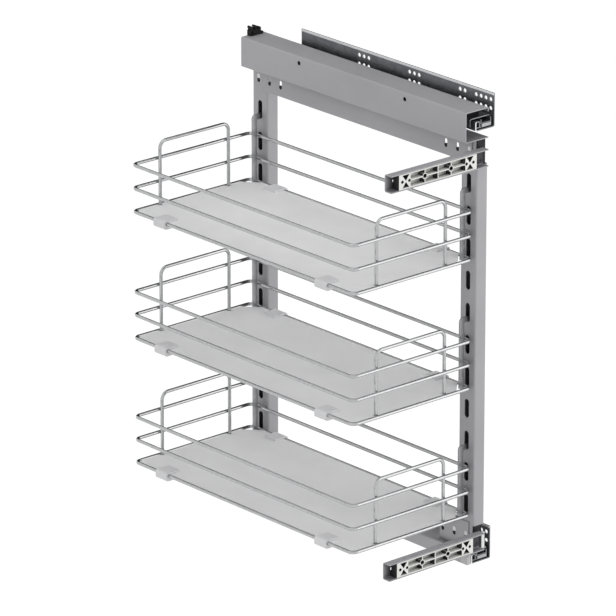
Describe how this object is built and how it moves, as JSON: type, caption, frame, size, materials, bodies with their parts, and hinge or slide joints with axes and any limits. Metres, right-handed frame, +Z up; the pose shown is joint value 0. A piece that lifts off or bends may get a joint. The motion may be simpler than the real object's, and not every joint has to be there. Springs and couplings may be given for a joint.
{
  "type": "pull-out cargo basket",
  "caption": "Side-mounted cabinet pull-out: wall rails with roller slides carry a frame of a beam, slotted posts and door brackets, with hook-in wire baskets and trays.",
  "frame": {"origin": "on the cabinet wall plane, on the first screw line of the bottom rail, midway between its two rows of screw holes", "axes": "+X into the cabinet's side wall, -Y out of the cabinet's front (the pull-out direction), +Z up"},
  "size_m": [0.266, 0.492, 0.696],
  "materials": {
    "frame_paint": "silver-grey powder coat, satin",
    "slide_steel": "galvanised sheet steel, dull",
    "roller_steel": "ground steel rollers in a sheet cage",
    "wire_chrome": "bright chrome plating on steel wire",
    "hook_zinc": "zinc-plated flat steel",
    "tray_plastic": "frosted light grey panel",
    "clip_plastic": "satin light grey plastic",
    "adapter_plastic": "cream moulded plastic",
    "black_plastic": "black moulded plastic",
    "cap_plastic": "light grey moulded plastic",
    "pad_plastic": "white moulded plastic",
    "carrier_zinc": "dark zinc-plated steel"
  },
  "bodies": {
    "cabinet_rails": {"top_cabinet_rail": "slide_steel", "bottom_cabinet_rail": "slide_steel"},
    "top_middle": {"top_middle_rail": "slide_steel"},
    "bottom_middle": {"bottom_middle_rail": "slide_steel"},
    "top_lower_cage": {"top_lower_roller_cage": "roller_steel"},
    "top_upper_cage": {"top_upper_roller_cage": "roller_steel"},
    "bottom_lower_cage": {"bottom_lower_roller_cage": "roller_steel"},
    "bottom_upper_cage": {"bottom_upper_roller_cage": "roller_steel"},
    "carriage": {"top_drawer_rail": "slide_steel", "bottom_drawer_rail": "slide_steel", "top_beam": "frame_paint", "base_beam": "frame_paint", "front_post": "frame_paint", "rear_post": "frame_paint", "top_bracket_carrier": "carrier_zinc", "bottom_bracket_carrier": "carrier_zinc", "top_door_bracket": "frame_paint", "bottom_door_bracket": "frame_paint", "bracket_rivets": "carrier_zinc", "front_coupling": "black_plastic", "rear_coupling": "black_plastic", "tilt_adjuster": "black_plastic", "base_end_cap": "cap_plastic", "stop_pad": "pad_plastic"},
    "top_adapter": {"top_door_adapter": "adapter_plastic"},
    "bottom_adapter": {"bottom_door_adapter": "adapter_plastic"},
    "lower_basket": {"lower_bottom_loop": "wire_chrome", "lower_middle_loop": "wire_chrome", "lower_top_loop": "wire_chrome", "lower_front_hoop": "wire_chrome", "lower_rear_hoop": "wire_chrome", "lower_front_hook": "hook_zinc", "lower_rear_hook": "hook_zinc", "lower_tray": "tray_plastic", "lower_tray_clips": "clip_plastic"},
    "middle_basket": {"middle_bottom_loop": "wire_chrome", "middle_middle_loop": "wire_chrome", "middle_top_loop": "wire_chrome", "middle_front_hoop": "wire_chrome", "middle_rear_hoop": "wire_chrome", "middle_front_hook": "hook_zinc", "middle_rear_hook": "hook_zinc", "middle_tray": "tray_plastic", "middle_tray_clips": "clip_plastic"},
    "upper_basket": {"upper_bottom_loop": "wire_chrome", "upper_middle_loop": "wire_chrome", "upper_top_loop": "wire_chrome", "upper_front_hoop": "wire_chrome", "upper_rear_hoop": "wire_chrome", "upper_front_hook": "hook_zinc", "upper_rear_hook": "hook_zinc", "upper_tray": "tray_plastic", "upper_tray_clips": "clip_plastic"}
  },
  "joints": [
    {"name": "carriage_slide", "type": "slide", "parent": "cabinet_rails", "child": "carriage", "axis": [0, -1, 0], "range_m": [0, 0.38]},
    {"name": "top_middle_slide", "type": "slide", "parent": "cabinet_rails", "child": "top_middle", "axis": [0, -1, 0], "range_m": [0, 0.19]},
    {"name": "top_lower_cage_slide", "type": "slide", "parent": "cabinet_rails", "child": "top_lower_cage", "axis": [0, -1, 0], "range_m": [0, 0.095]},
    {"name": "top_upper_cage_slide", "type": "slide", "parent": "cabinet_rails", "child": "top_upper_cage", "axis": [0, -1, 0], "range_m": [0, 0.285]},
    {"name": "bottom_middle_slide", "type": "slide", "parent": "cabinet_rails", "child": "bottom_middle", "axis": [0, -1, 0], "range_m": [0, 0.19]},
    {"name": "bottom_lower_cage_slide", "type": "slide", "parent": "cabinet_rails", "child": "bottom_lower_cage", "axis": [0, -1, 0], "range_m": [0, 0.095]},
    {"name": "bottom_upper_cage_slide", "type": "slide", "parent": "cabinet_rails", "child": "bottom_upper_cage", "axis": [0, -1, 0], "range_m": [0, 0.285]},
    {"name": "lower_basket_lift", "type": "slide", "parent": "carriage", "child": "lower_basket", "axis": [0, 0, 1], "range_m": [0, 0.016]},
    {"name": "middle_basket_lift", "type": "slide", "parent": "carriage", "child": "middle_basket", "axis": [0, 0, 1], "range_m": [0, 0.016]},
    {"name": "upper_basket_lift", "type": "slide", "parent": "carriage", "child": "upper_basket", "axis": [0, 0, 1], "range_m": [0, 0.016]},
    {"name": "top_adapter_shift", "type": "slide", "parent": "carriage", "child": "top_adapter", "axis": [1, 0, 0], "range_m": [-0.003, 0.003]},
    {"name": "bottom_adapter_shift", "type": "slide", "parent": "carriage", "child": "bottom_adapter", "axis": [1, 0, 0], "range_m": [-0.003, 0.003]}
  ],
  "couplings": [
    {"joint": "top_middle_slide", "follows": "carriage_slide", "ratio": 0.5},
    {"joint": "top_lower_cage_slide", "follows": "carriage_slide", "ratio": 0.25},
    {"joint": "top_upper_cage_slide", "follows": "carriage_slide", "ratio": 0.75},
    {"joint": "bottom_middle_slide", "follows": "carriage_slide", "ratio": 0.5},
    {"joint": "bottom_lower_cage_slide", "follows": "carriage_slide", "ratio": 0.25},
    {"joint": "bottom_upper_cage_slide", "follows": "carriage_slide", "ratio": 0.75}
  ]
}
